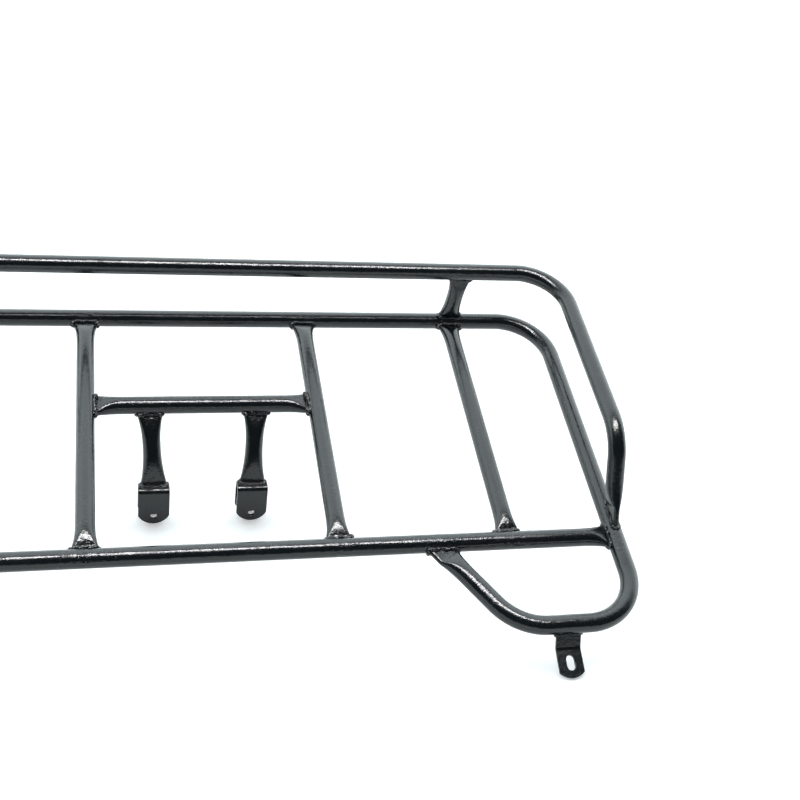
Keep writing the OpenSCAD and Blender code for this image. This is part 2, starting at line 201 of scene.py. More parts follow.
class Path:
    """Axis of a bent tube: straight runs between corners, each corner rounded by an arc of the given radius.

    The side vector starts square to the first run and turns with every arc, so it never twists about it.
    """

    def __init__(self, corners, radii, side):
        corners = [np.asarray(c, float) for c in corners]
        self.parts, self.length = [], 0.0
        start, side = corners[0], np.asarray(side, float)
        for i in range(1, len(corners)):
            along = unit(corners[i] - corners[i - 1])
            last = i == len(corners) - 1
            if last:
                back = 0.0
            else:
                ahead = unit(corners[i + 1] - corners[i])
                turn = math.acos(np.clip(np.dot(along, ahead), -1, 1))
                back = radii[i - 1] * math.tan(turn / 2)
            run = np.linalg.norm(corners[i] - start) - back
            self.parts.append((self.length, run, start, along, side, None, 0.0, None))
            self.length += run
            if not last:
                axis = unit(np.cross(along, ahead))
                start = corners[i] - along * back
                hub = start + unit(np.cross(axis, along)) * radii[i - 1]
                arc = radii[i - 1] * turn
                self.parts.append((self.length, arc, start, along, side, axis, radii[i - 1], hub))
                self.length += arc
                side = turned(side, axis, np.array(turn))
                start = corners[i] + ahead * back

    def at(self, s):
        """Point, direction and side at each distance s: p + s d on a run, hub + turned arm on a bend."""
        s = np.asarray(s, float)
        point, along, side = (np.zeros(s.shape + (3,)) for _ in range(3))
        for k, (begin, run, start, way, edge, axis, radius, hub) in enumerate(self.parts):
            low = -np.inf if k == 0 else begin
            high = np.inf if k == len(self.parts) - 1 else begin + run
            inside = (s >= low) & (s < high)
            t = s[inside] - begin
            if axis is None:
                point[inside], along[inside], side[inside] = start + t[:, None] * way, way, edge
            else:
                a = t / radius
                point[inside] = hub + turned(start - hub, axis, a)
                along[inside], side[inside] = turned(way, axis, a), turned(edge, axis, a)
        return point, along, side

    def stations(self, first, last, step, fine, flare):
        """Distances from first to last: spaced by step, and by fine near both ends and on the arcs."""
        s = np.arange(first, last, fine)
        keep = np.zeros(s.shape, bool)
        keep[:: max(1, round(step / fine))] = True
        keep |= (s < first + flare) | (s > last - flare)
        for begin, run, _, _, _, axis, _, _ in self.parts:
            if axis is not None:
                keep |= (s > begin - fine) & (s < begin + run + fine) & (np.arange(len(s)) % 2 == 0)
        return np.append(s[keep], last)


def section(turn, thick, flat, crown=0.0):
    """Outline of a round-edged flat: two flats of half length flat joined by half circles of diameter thick.

    turn runs from -2 to 2 quarter outlines; equal steps are equal lengths of wall, so a tube keeps its girth
    as it is pinched. The flats bulge by crown at their middle.
    """
    quarter = flat + math.pi * thick / 4
    top = np.abs(turn) <= 1
    far = np.where(top, np.abs(turn), 2 - np.abs(turn)) * quarter
    bend = np.clip((far - flat) / (thick / 2), 0, None)
    x = np.sign(turn + 1e-12) * (np.minimum(far, flat) + thick / 2 * np.sin(bend))
    rise = crown * np.clip(1 - (far / np.maximum(flat, 1e-6)) ** 2, 0, None)
    return x, np.where(top, 1, -1) * (thick / 2 * np.cos(bend) + rise)


def squashed(thick, tube):
    """Half length of a pinched tube's flats: the girth pi D stays, so it is pi (D - thick) / 4."""
    return math.pi * (tube - thick) / 4


def coped(point, along, side, mate, mate_way, radius):
    """Distance along a tube at which a wall line at (x, y) off its axis meets a round mate of that radius.

    With e the part of the tube's direction square to the mate and m square to both, a line x n + y m meets
    the mate where (d u.e + x n.e + c)^2 + (y + g)^2 = radius^2.
    """
    mate_way = unit(mate_way)
    square = unit(along - mate_way * np.dot(along, mate_way))
    third = np.cross(along, side)
    off = point - mate
    gap = np.dot(off, square)
    lift = np.dot(off, third)

    def distance(x, y):
        reach = np.sqrt(np.clip(radius ** 2 - (y + lift) ** 2, 0, None))
        return (reach - gap - x * np.dot(side, square)) / np.dot(along, square)
    return distance


def butted(point, along, side, spot, normal):
    """Distance along a tube at which a wall line at (x, y) off its axis meets the plane through spot."""
    third = np.cross(along, side)

    def distance(x, y):
        return (np.dot(spot - point, normal) - x * np.dot(side, normal) - y * np.dot(third, normal)) \
            / np.dot(along, normal)
    return distance


def mesh_from(name, rings, wall, near, wrap_rings=False):
    """Object from a grid of points, rings by points round a ring: closed round each ring, and at its ends by
    fans or, with wrap_rings, into a loop. The sign of the volume they enclose turns the faces outwards.

    wall is (distance of each ring, girth) for the UV map in metres; near is each point's closeness to a weld.
    """
    count, around = rings.shape[:2]
    verts = rings.reshape(-1, 3)
    rows = np.arange(count if wrap_rings else count - 1)
    cols = np.arange(around)
    i, j = np.meshgrid(rows, cols, indexing="ij")
    i2, j2 = (i + 1) % count, (j + 1) % around
    quads = np.stack([i * around + j, i2 * around + j, i2 * around + j2, i * around + j2], axis=-1)
    quads = quads.reshape(-1, 4)
    uv_u = np.stack([i, i + 1, i + 1, i], axis=-1).reshape(-1, 4)
    uv_v = np.stack([j, j, j + 1, j + 1], axis=-1).reshape(-1, 4)
    tris = np.zeros((0, 3), int)
    if not wrap_rings:
        verts = np.vstack([verts, rings[0].mean(axis=0), rings[-1].mean(axis=0)])
        nxt = (cols + 1) % around
        head = np.stack([np.full(around, count * around), cols, nxt], axis=-1)
        tail = np.stack([np.full(around, count * around + 1), (count - 1) * around + nxt,
                         (count - 1) * around + cols], axis=-1)
        tris = np.vstack([head, tail])
    fans = np.vstack([quads[:, [0, 1, 2]], quads[:, [0, 2, 3]], tris])
    a, b, c = (verts[fans[:, k]] - verts.mean(axis=0) for k in range(3))
    if np.einsum("ij,ij->", a, np.cross(b, c)) < 0:
        quads, uv_u, uv_v, tris = quads[:, ::-1], uv_u[:, ::-1], uv_v[:, ::-1], tris[:, ::-1]
    mesh = bpy.data.meshes.new(name)
    loops = np.concatenate([quads.ravel(), tris.ravel()]).astype(np.int32)
    sizes = np.concatenate([np.full(len(quads), 4), np.full(len(tris), 3)]).astype(np.int32)
    mesh.vertices.add(len(verts))
    mesh.vertices.foreach_set("co", verts.astype(np.float32).ravel())
    mesh.loops.add(len(loops))
    mesh.loops.foreach_set("vertex_index", loops)
    mesh.polygons.add(len(sizes))
    mesh.polygons.foreach_set("loop_start", np.concatenate([[0], np.cumsum(sizes)[:-1]]).astype(np.int32))
    mesh.polygons.foreach_set("loop_total", sizes)
    mesh.update(calc_edges=True)
    if mesh.validate():
        raise RuntimeError(f"{name} has broken faces")
    distance, girth = wall
    uv = np.zeros((len(loops), 2))
    uv[:quads.size, 0] = np.append(distance, distance[-1])[uv_u.ravel()]
    uv[:quads.size, 1] = uv_v.ravel() / around * girth
    mesh.uv_layers.new(name="Wall").data.foreach_set("uv", uv.astype(np.float32).ravel())
    values = np.append(near.ravel(), np.zeros(len(verts) - near.size)).astype(np.float32)
    mesh.attributes.new("near_weld", "FLOAT", "POINT").data.foreach_set("value", values)
    mesh.shade_smooth()
    piece = bpy.data.objects.new(name, mesh)
    bpy.context.collection.objects.link(piece)
    return piece


def wobble(length, waves, seed):
    """A smooth closed wander of about unit size: a sum of seeded sines of the position round the loop."""
    rng = np.random.default_rng(seed)
    k = np.arange(1, waves + 1)
    size, phase = rng.normal(size=waves) / np.sqrt(waves), rng.uniform(0, 2 * math.pi, waves)
    return (size * np.sin(2 * math.pi * k * length[..., None] + phase)).sum(axis=-1)


class End:
    """A pinched tube end: how far it stays flat, where each wall line meets its mate, how long it flares and
    how steeply: the pinch fades as (share of the flare left) to this power."""

    def __init__(self, flat, meets, flare=None, power=3.0):
        self.flat, self.meets, self.power = flat, meets, power
        self.flare = flare or bpy.context.scene.rack_sizes.flare


def tube_piece(name, path, head, tail, near_points=(), around=64):
    """A tube carried along its path. From each flat end its thickness rises steeply, then slowly, to the full
    diameter: the pinch is (share of the flare left) to the end's power, and the wall keeps its girth.
    """
    sizes = bpy.context.scene.rack_sizes
    tube, pinch = sizes.tube, sizes.pinch
    turn = (np.arange(around) / around * 4 - 2) + 2 / around
    first, last = head.flat, path.length - tail.flat
    s = path.stations(first, last, step=0.006, fine=0.0015, flare=0.042)

    def gap(distance, end):
        return np.clip((end.flare - distance) / end.flare, 0, 1) ** end.power

    press = np.maximum(gap(s - first, head), gap(last - s, tail))
    thick = tube - (tube - pinch) * press
    x, y = section(turn[None, :], thick[:, None], squashed(thick, tube)[:, None], CREST * press[:, None])
    where = np.broadcast_to(s[:, None], x.shape)
    fx, fy = section(turn, pinch, squashed(pinch, tube), CREST)
    share = np.linspace(0, 1, 5)[:-1, None]
    start = head.meets(fx, fy) - BITE
    stop = path.length - tail.meets(fx, fy) + BITE
    where = np.vstack([start * (1 - share) + first * share, where, last + (stop - last) * (share + 0.25)])
    x = np.vstack([np.tile(fx, (4, 1)), x, np.tile(fx, (4, 1))])
    y = np.vstack([np.tile(fy, (4, 1)), y, np.tile(fy, (4, 1))])
    point, along, side = path.at(where)
    rings = point + x[..., None] * side + y[..., None] * np.cross(along, side)
    near = np.zeros(x.shape)
    for spot in near_points:
        far = np.linalg.norm(rings - spot, axis=-1)
        near = np.maximum(near, np.exp(-np.clip(far - SPATTER, 0, None) / SPATTER_FADE))
    return mesh_from(name, rings, (where.mean(axis=1), math.pi * tube), near)


def bead_piece(name, point, along, side, meets, thick, flat, seed, radius=None):
    """A weld bead: a round cord carried along the closed line where a pinched end meets its mate.

    Its radius carries ripples, |sin| of the distance over the ripple spacing, set back towards the crown so
    that they curve into crescents, and wanders slowly as a hand-laid bead does.
    """
    sizes = bpy.context.scene.rack_sizes
    radius = radius or sizes.bead
    along, side = unit(along), unit(side)
    third = np.cross(along, side)
    turn = np.linspace(-2, 2, 193)[:-1]
    x, y = section(turn, thick, flat)
    line = point + meets(x, y)[:, None] * along + x[:, None] * side + y[:, None] * third
    ahead = np.roll(line, -1, axis=0) - np.roll(line, 1, axis=0)
    tangent = unit(ahead)
    outward = unit(np.cross(tangent, along))
    outward *= np.sign(np.einsum("ij,ij->i", outward, line - point - along * meets(x, y)[:, None]))[:, None]
    upward = np.cross(outward, tangent)
    upward *= np.sign(upward @ along)[:, None]
    step = np.linalg.norm(np.roll(line, -1, axis=0) - line, axis=1)
    run = np.concatenate([[0], np.cumsum(step)[:-1]])
    total = step.sum()
    count = max(8, round(total / sizes.ripple))
    psi = np.linspace(0, 2 * math.pi, 17)[:-1]
    wander = 1 + 0.24 * wobble(run / total, 9, seed)
    crown = np.clip(np.cos(psi - math.pi / 4), 0, None)
    early = 0.22 * wobble(run / total, 5, seed + 1)
    lap = (run / total * count + early)[:, None] + 0.55 * crown[None, :] ** 2
    ripple = np.abs(np.sin(math.pi * lap)) ** 0.6
    size = radius * wander[:, None] * (0.66 + 0.50 * ripple * (0.3 + 0.7 * crown[None, :]))
    shift = 0.22 * radius * wobble(run / total, 6, seed + 2)[:, None, None]
    rings = (line[:, None, :] + shift * upward[:, None, :]
             + size[..., None] * (np.cos(psi)[None, :, None] * outward[:, None, :]
                                  + np.sin(psi)[None, :, None] * upward[:, None, :]))
    wall = (np.append(run, total), 2 * math.pi * radius)
    return mesh_from(name, rings, wall, np.ones(rings.shape[:2]), wrap_rings=True)


def ear_rim(half, tip, centre, reach, sides=5, arc=15):
    """Rim of a rounded strip end, from one side at reach, down it, round the tip and up the other side.

    The tip is an arc of radius tip about (0, centre), so a side ends at centre - sqrt(tip^2 - half^2).
    """
    corner = centre - math.sqrt(tip ** 2 - half ** 2)
    lean = math.asin(half / tip)
    a = np.linspace(-lean, lean, arc)
    down = np.linspace(reach, corner, sides)[:-1]
    x = np.concatenate([np.full(sides - 1, -half), tip * np.sin(a), np.full(sides - 1, half)])
    y = np.concatenate([down, centre - tip * np.cos(a), down[::-1]])
    return np.stack([x, y], axis=-1)


def slot_ring(way, radius, slot):
    """Rim of a slot about the origin in the directions way: on its flats r / |cos|, and on its round ends,
    with centres at (0, slot) and (0, -slot), slot |sin| + sqrt(r^2 - slot^2 cos^2)."""
    c, s = np.abs(np.cos(way)), np.abs(np.sin(way))
    flat = radius / np.maximum(c, 1e-9)
    ends = slot * s + np.sqrt(np.clip(radius ** 2 - (slot * c) ** 2, 0, None))
    far = np.where(flat * s <= slot, flat, ends)
    return np.stack([far * np.cos(way), far * np.sin(way)], axis=-1)


def strip_piece(name, path, half, ends, columns=12):
    """A bent strip with rounded ends and holes, drawn flat and carried along its path.

    Its two faces are grids of (across, along): rows between the ends, and at each end rings from the hole's
    rim out to the strip's rim. The rims are joined by quarter rounds of radius e: in by e (1 - sin a), off
    the middle by t/2 - e + e cos a.
    """
    sizes = bpy.context.scene.rack_sizes
    edge, thick = sizes.edge, sizes.strip
    inner = half - edge
    across = np.linspace(-inner, inner, columns + 1)
    sheets, rims, reaches, outer = [], [], [], []
    for k, end in enumerate(ends):
        if end is None:
            reaches.append(edge)
            outer.append((np.stack([across, np.full(columns + 1, edge)], -1),
                          np.stack([across * half / inner, np.zeros(columns + 1)], -1)))
            continue
        reach = end["reach"]
        reaches.append(reach)
        small = ear_rim(inner, end["tip"] - edge, end["tip"], reach)
        true = ear_rim(half, end["tip"], end["tip"], reach)
        top = np.stack([across[::-1][1:-1], np.full(columns - 1, reach)], -1)
        loop = np.vstack([small, top])
        centre = np.array([0.0, end["hole"]])
        way = np.arctan2(loop[:, 1] - centre[1], loop[:, 0])
        ring = slot_ring(way, end["radius"] + edge, end["slot"]) + centre
        t = np.linspace(0, 1, 7)[:, None, None] ** 1.3
        rings = ring[None] * (1 - t) + loop[None] * t
        rim = (ring, slot_ring(way, end["radius"], end["slot"]) + centre)
        if k:
            rings, small, true = (flip_end(v, path.length) for v in (rings, small, true))
            rim = tuple(flip_end(v, path.length) for v in rim)
        sheets.append((rings, True))
        rims.append(rim)
        outer.append((small, true))
    low, high = reaches[0], path.length - reaches[1]
    rows = [np.array([low, high])]
    for begin, run, _, _, _, axis, _, _ in path.parts:
        if axis is not None:
            rows.append(np.linspace(begin, begin + run, 9))
    rows = np.unique(np.clip(np.concatenate(rows), low, high).round(9))
    rows = np.unique(np.concatenate([rows, np.linspace(low, high, 12).round(9)]))
    rows = rows[np.append(True, np.diff(rows) > 1e-5)]
    grid = np.stack(np.broadcast_arrays(across[None, :], rows[:, None]), -1)
    sheets.append((grid, False))
    mid = rows[1:-1]
    right = np.stack([np.full(len(mid), inner), mid], -1)
    left = right[::-1] * (-1, 1)
    grow = edge * np.array([1.0, 0.0])
    rim = (np.vstack([outer[0][0], right, outer[1][0][::-1], left]),
           np.vstack([outer[0][1], right + grow, outer[1][1][::-1], left - grow]))
    rims.append(rim)
    points, normals, faces, base = [], [], [], 0

    def lay(flat, off, tilt, closed):
        """Adds a grid of flat-pattern points at a distance off the middle, its normals and its quads."""
        nonlocal base
        spot, along, face = path.at(flat[..., 1])
        width = np.cross(along, face)
        points.append((spot + flat[..., :1] * width + off[..., None] * face).reshape(-1, 3))
        normal = tilt[..., :1] * width + tilt[..., 1:2] * along + tilt[..., 2:] * face
        normals.append(unit(normal).reshape(-1, 3))
        n, m = flat.shape[:2]
        i, j = np.meshgrid(np.arange(n - 1), np.arange(m if closed else m - 1), indexing="ij")
        k = (j + 1) % m
        quads = np.stack([i * m + j, (i + 1) * m + j, (i + 1) * m + k, i * m + k], -1)
        faces.append(base + quads.reshape(-1, 4))
        base += n * m

    for flat, closed in sheets:
        for sign in (1.0, -1.0):
            lay(flat, np.full(flat.shape[:2], sign * thick / 2),
                np.broadcast_to(np.array([0.0, 0.0, sign]), flat.shape[:2] + (3,)), closed)
    a = np.concatenate([np.linspace(0, 90, 5), np.linspace(90, 180, 5)]) * math.pi / 180
    drop = np.sign(np.cos(a).round(9)) * (thick / 2 - edge)
    drop[4], drop[5] = thick / 2 - edge, edge - thick / 2
    for small, true in rims:
        out = true - small
        flat = small[None] + out[None] * np.sin(a)[:, None, None]
        off = np.broadcast_to((drop + edge * np.cos(a))[:, None], flat.shape[:2])
        tilt = np.concatenate([unit(out)[None] * np.sin(a)[:, None, None],
                               np.broadcast_to(np.cos(a)[:, None, None], flat.shape[:2] + (1,))], -1)
        lay(flat, off, tilt, True)
    points, normals, faces = np.vstack(points), np.vstack(normals), np.vstack(faces)
    _, first, back = np.unique(points.round(7), axis=0, return_index=True, return_inverse=True)
    faces = back.ravel()[faces]
    points, normals = points[first], normals[first]
    faces = faces[(faces[:, 0] != faces[:, 1]) & (faces[:, 2] != faces[:, 3])]
    mesh = bpy.data.meshes.new(name)
    mesh.from_pydata(points.tolist(), [], faces.tolist())
    shell = bmesh.new()
    shell.from_mesh(mesh)
    bmesh.ops.recalc_face_normals(shell, faces=shell.faces)
    shell.to_mesh(mesh)
    shell.free()
    mesh.shade_smooth()
    mesh.normals_split_custom_set_from_vertices(normals.tolist())
    piece = bpy.data.objects.new(name, mesh)
    bpy.context.collection.objects.link(piece)
    return piece


def flip_end(flat, length):
    """Flat-pattern points measured from the far end of a strip."""
    return np.stack([flat[..., 0], length - flat[..., 1]], -1)


def finish_piece(piece, replaced, material):
    """Gives a piece its material, ties it to the body and hides the CAD nodes that it stands for."""
    piece.data.materials.clear()
    piece.data.materials.append(bpy.data.materials[material])
    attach(piece, "root")
    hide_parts(*replaced)


# ---- materials ----

def linear(hex_value):
    """An sRGB hex colour as linear red, green, blue and alpha."""
    c = [int(hex_value[k:k + 2], 16) / 255 for k in (1, 3, 5)]
    return tuple(v / 12.92 if v <= 0.04045 else ((v + 0.055) / 1.055) ** 2.4 for v in c) + (1.0,)


def add(tree, kind, settings=None, **links):
    """Adds a node. settings sets its properties and sockets by name, or by number as #1; links join its
    sockets, by name or by number as i1, to other nodes' outputs."""
    node = tree.nodes.new("ShaderNode" + kind)
    for key, value in (settings or {}).items():
        if hasattr(node, key):
            setattr(node, key, value)
        else:
            node.inputs[int(key[1:]) if key[0] == "#" else key].default_value = value
    for key, source in links.items():
        key = key.replace("_", " ")
        target = node.inputs[int(key[1:])] if key[0] == "i" and key[1:].isdigit() else node.inputs[key]
        tree.links.new(source, target)
    return node


def new_material(name):
    """The empty node tree of a new material."""
    material = bpy.data.materials.new(name)
    material.use_nodes = True
    material.node_tree.nodes.clear()
    return material.node_tree


def enamel(name, tube_wall, spatter=0.1, roughness=1.0):
    """Gloss black enamel sprayed over welded steel.

    The eye sees a deep black with clear but wavy, grainy reflections (orange peel of 3.2 mm, nibs of 1.3 mm),
    the tube's drawing lines under the film, fine dust, a few small chips, and spatter beside the welds.
    """
    finish = bpy.context.scene.rack_finish
    tree = new_material(name)
    coord = add(tree, "TexCoord").outputs["Object"]
    peel = add(tree, "TexNoise", {"Scale": 1 / 0.0032, "Detail": 2.0, "Roughness": 0.55}, Vector=coord)
    runs = add(tree, "TexNoise", {"Scale": 1 / 0.016, "Detail": 3.0, "Roughness": 0.6}, Vector=coord)
    nibs = add(tree, "TexNoise", {"Scale": 1 / 0.0013, "Detail": 1.0, "Roughness": 0.5}, Vector=coord)
    grit = add(tree, "TexVoronoi", {"Scale": 1 / 0.0026, "Randomness": 1.0}, Vector=coord)
    near = add(tree, "Attribute", {"attribute_name": "near_weld"}).outputs["Fac"]
    # spatter: round drops under the paint, thick beside a weld and sparse away from it
    reach = add(tree, "MapRange", {"To Min": spatter, "To Max": 0.42}, Value=near)
    drop = add(tree, "Math", {"operation": "SUBTRACT"}, i0=reach.outputs[0], i1=grit.outputs["Distance"])
    drop = add(tree, "Math", {"operation": "MAXIMUM", "#1": 0.0}, i0=drop.outputs[0])
    pick = add(tree, "SeparateColor", {}, Color=grit.outputs["Color"])
    chosen = add(tree, "MapRange", {"From Min": 0.55, "From Max": 0.75}, Value=pick.outputs[0])
    drops = add(tree, "Math", {"operation": "MULTIPLY"}, i0=drop.outputs[0], i1=chosen.outputs[0])
    # dust: fine pale specks that lie on what faces up
    specks = add(tree, "TexNoise", {"Scale": 1 / 0.0011, "Detail": 3.0, "Roughness": 0.7}, Vector=coord)
    patch = add(tree, "TexNoise", {"Scale": 1 / 0.022, "Detail": 2.0}, Vector=coord)
    normal = add(tree, "SeparateXYZ", {}, Vector=add(tree, "NewGeometry").outputs["Normal"])
    upward = add(tree, "MapRange", {"From Min": 0.35, "From Max": 1.0}, Value=normal.outputs[2])
    fleck = add(tree, "MapRange", {"From Min": 0.56, "From Max": 0.74}, Value=specks.outputs[0])
    cloud = add(tree, "MapRange", {"From Min": 0.4, "From Max": 0.65, "To Min": 0.15}, Value=patch.outputs[0])
    dusty = add(tree, "Math", {"operation": "MULTIPLY"}, i0=fleck.outputs[0], i1=upward.outputs[0])
    dusty = add(tree, "Math", {"operation": "MULTIPLY"}, i0=dusty.outputs[0], i1=cloud.outputs[0])
    dust = add(tree, "Math", {"operation": "MULTIPLY", "#1": 0.42}, i0=dusty.outputs[0])
    # chips: rare, about 1 mm, where a 4 mm noise peaks
    lumps = add(tree, "TexNoise", {"Scale": 1 / 0.004, "Detail": 4.0, "Roughness": 0.65}, Vector=coord)
    chip = add(tree, "MapRange", {"From Min": 0.72, "From Max": 0.735}, Value=lumps.outputs[0])
    base = add(tree, "Mix", {"data_type": "RGBA", "#6": linear(finish.paint), "#7": linear(finish.dust)},
               i0=dust.outputs[0])
    coat = add(tree, "Mix", {"data_type": "RGBA", "#7": linear(finish.primer)},
               i0=chip.outputs[0], i6=base.outputs[2])
    # roughness: the sound film, duller where it is dusty or chipped
    gloss = finish.gloss * roughness
    rough = add(tree, "MapRange", {"From Min": 0.3, "From Max": 0.7, "To Min": gloss * 0.8,
                                   "To Max": gloss * 1.35}, Value=runs.outputs[0])
    for source, more in ((dust, 0.9), (chip, 0.3)):
        rough = add(tree, "Math", {"operation": "MULTIPLY_ADD", "#1": more},
                    i0=source.outputs[0], i2=rough.outputs[0])
    # relief in metres, with scale burnt on beside the welds
    scale = add(tree, "Math", {"operation": "MULTIPLY"}, i0=peel.outputs[0], i1=near)
    height = add(tree, "Math", {"operation": "MULTIPLY", "#1": 0.00012}, i0=peel.outputs[0])
    reliefs = [(nibs, 0.00012), (runs, 0.0003), (drops, 0.0012), (scale, 0.0004), (chip, -0.00006)]
    if tube_wall:
        wall = add(tree, "UVMap", {"uv_map": "Wall"}).outputs[0]
        stretched = add(tree, "Mapping", {"Scale": (1 / 0.05, 1 / 0.0017, 1)}, Vector=wall)
        lines = add(tree, "TexNoise", {"noise_dimensions": "2D", "Scale": 1.0, "Detail": 3.0},
                    Vector=stretched.outputs[0])
        reliefs.append((lines, 0.00007))
    for source, tall in reliefs:
        height = add(tree, "Math", {"operation": "MULTIPLY_ADD", "#1": tall},
                     i0=source.outputs[0], i2=height.outputs[0])
    bump = add(tree, "Bump", {"Strength": 1.0, "Distance": 1.0}, Height=height.outputs[0])
    shader = add(tree, "BsdfPrincipled", {"IOR": 1.5},
                 Base_Color=coat.outputs[2], Roughness=rough.outputs[0], Normal=bump.outputs[0])
    out = add(tree, "OutputMaterial", {}, Surface=shader.outputs[0])
    out.is_active_output = True


def floor_material():
    """Matt white painted board: almost white, with a very fine tooth and slow shifts of tone, lit from within
    a little so that only the shadows under the feet stay."""
    finish = bpy.context.scene.rack_finish
    tree = new_material("Matt_white_painted_board")
    coord = add(tree, "TexCoord").outputs["Object"]
    slow = add(tree, "TexNoise", {"Scale": 1 / 0.5, "Detail": 2.0}, Vector=coord)
    tone = add(tree, "MapRange", {"To Min": 0.975, "To Max": 1.0}, Value=slow.outputs[0])
    colour = add(tree, "Mix", {"data_type": "RGBA", "#6": linear("#eeefed"), "#7": linear(finish.floor)},
                 i0=tone.outputs[0])
    tooth = add(tree, "TexNoise", {"Scale": 1 / 0.0015, "Detail": 2.0}, Vector=coord)
    bump = add(tree, "Bump", {"Strength": 0.2, "Distance": 0.0001}, Height=tooth.outputs[0])
    shader = add(tree, "BsdfPrincipled", {"Roughness": 0.85, "Emission Color": linear("#ffffff"),
                                          "Emission Strength": 0.3},
                 Base_Color=colour.outputs[2], Normal=bump.outputs[0])
    add(tree, "OutputMaterial", {}, Surface=shader.outputs[0])


# ---- what goes where ----

def mates():
    """Every pinched end by name: the mate's spot, the tube's direction, its side and the mate's direction."""
    z = bpy.context.scene.rack_sizes
    out = {}
    for tag, s in SIDES.items():
        out["inner_front_" + tag] = (deck(s * z.inner_x, 0), DY, DX, DX)
        out["inner_back_" + tag] = (deck(s * z.inner_x, z.deck_y), -DY, DX, DX)
        out["outer_front_" + tag] = (deck(s * z.outer_x, 0), DY, DX, DX)
        out["outer_back_" + tag] = (deck(s * z.outer_x, z.deck_y), -DY, DX, DX)
        out["front_rail_" + tag] = (deck(s * z.end_x, 0), -s * DX, DY, DY)
        slope = unit((z.hoop_corner - z.hoop_root) * s * DX - z.hoop_y * DY)
        out["hoop_" + tag] = (deck(s * z.hoop_root, 0), slope, np.cross(DZ, slope), DX)
        rise = unit((z.guard_turn - z.guard_foot) * DY + z.guard_z * DZ)
        out["guard_foot_" + tag] = (deck(s * z.end_x, z.guard_foot), rise, np.cross(DX, rise), DY)
        out["post_foot_" + tag] = (deck(s * z.outer_x, z.deck_y), DZ, DX, DX)
        out["post_top_" + tag] = (deck(s * z.outer_x, z.deck_y, z.guard_z), -DZ, DX, DX)
        out["centre_bar_" + tag] = (deck(s * z.inner_x, z.bar_y), -s * DX, DY, DY)
        top = deck(s * z.strut_x, z.bar_y)
        out["strut_top_" + tag] = (top, unit(strut_foot(tag) - top), DX, DX)
    return out


def strut_foot(tag):
    """Where a strut's axis meets its clip: the middle of the clip's top face."""
    low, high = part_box("clip_" + tag)
    return np.array([(low[0] + high[0]) / 2, (low[1] + high[1]) / 2, high[2]])


def sloping_flat(angle):
    """How far a sloping end stays flat from its mate's axis: r / sin a + half width / tan a, and a land."""
    z = bpy.context.scene.rack_sizes
    return z.tube / 2 / math.sin(angle) + z.half_width / math.tan(angle) + SLOPING_LAND


def sloping_down(angle):
    """The direction to the front and down, at an angle below the deck."""
    return -math.cos(angle) * DY - math.sin(angle) * DZ


def spots_at(ends, *kinds):
    """The spots of the pinched ends whose names hold one of the kinds."""
    return [end[0] for name, end in ends.items() if any(kind in name for kind in kinds)]


def meeting(name, ends, radius):
    """The distance function of a pinched end against its round mate."""
    spot, way, side, mate_way = ends[name]
    side = unit(side - way * np.dot(side, way))
    return coped(spot, way, side, spot, mate_way, radius)


def straight(node_name, head_name, tail_name, ends, spots=None):
    """A straight tube pinched at both ends, square to its mates; spots are the welds on or near it."""
    tube = bpy.context.scene.rack_sizes.tube
    a, b = ends[head_name], ends[tail_name]
    path = Path([a[0], b[0]], [], a[2])
    head = End(tube / 2 + LAND, meeting(head_name, ends, tube / 2))
    tail = End(tube / 2 + LAND, meeting(tail_name, ends, tube / 2))
    piece = tube_piece(node_name.capitalize(), path, head, tail, spots or (a[0], b[0]))
    finish_piece(piece, [node_name], ON_TUBE)


class RackOperator:
    """What all of the rack's operators share."""
    bl_options = {"REGISTER", "UNDO"}


class RACK_OT_materials(RackOperator, bpy.types.Operator):
    """Makes the paint and floor materials"""
    bl_idname = "rack.materials"
    bl_label = "Materials"

    def execute(self, context):
        enamel(ON_TUBE, True)
        enamel(ON_WELD, False, spatter=0.12, roughness=0.75)
        enamel(ON_STRIP, False)
        floor_material()
        return {"FINISHED"}


class RACK_OT_deck(RackOperator, bpy.types.Operator):
    """Builds the deck loop with its hoops, the front rail, the cross tubes and the centre bar"""
    bl_idname = "rack.deck"
    bl_label = "Deck"

    def execute(self, context):
        z = context.scene.rack_sizes
        ends = mates()
        corners = [deck(z.hoop_root, 0), deck(z.hoop_corner, -z.hoop_y), deck(z.end_x, -z.hoop_y),
                   deck(z.end_x, z.deck_y), deck(-z.end_x, z.deck_y), deck(-z.end_x, -z.hoop_y),
                   deck(-z.hoop_corner, -z.hoop_y), deck(-z.hoop_root, 0)]
        path = Path(corners, [z.loop_bend] * 6, ends["hoop_right"][2])
        flat = sloping_flat(math.atan2(z.hoop_y, z.hoop_corner - z.hoop_root))
        head = End(flat, meeting("hoop_right", ends, z.tube / 2))
        spot, way, side, mate_way = ends["hoop_left"]
        far_ends = {"hoop_left": (spot, way, -side, mate_way)}  # the side vector has come round with the loop
        tail = End(flat, meeting("hoop_left", far_ends, z.tube / 2))
        spots = spots_at(ends, "back", "post_foot", "front_rail", "guard_foot", "hoop")
        loop = tube_piece("Deck_loop", path, head, tail, spots)
        finish_piece(loop, ["deck_loop"], ON_TUBE)
        spots = spots_at(ends, "inner_front", "outer_front", "hoop", "front_rail")
        straight("front_rail", "front_rail_left", "front_rail_right", ends, spots)
        for tag in SIDES:
            for cross in ("inner", "outer"):
                straight(f"{cross}_cross_{tag}", f"{cross}_front_{tag}", f"{cross}_back_{tag}", ends)
        straight("centre_bar", "centre_bar_left", "centre_bar_right", ends)
        return {"FINISHED"}


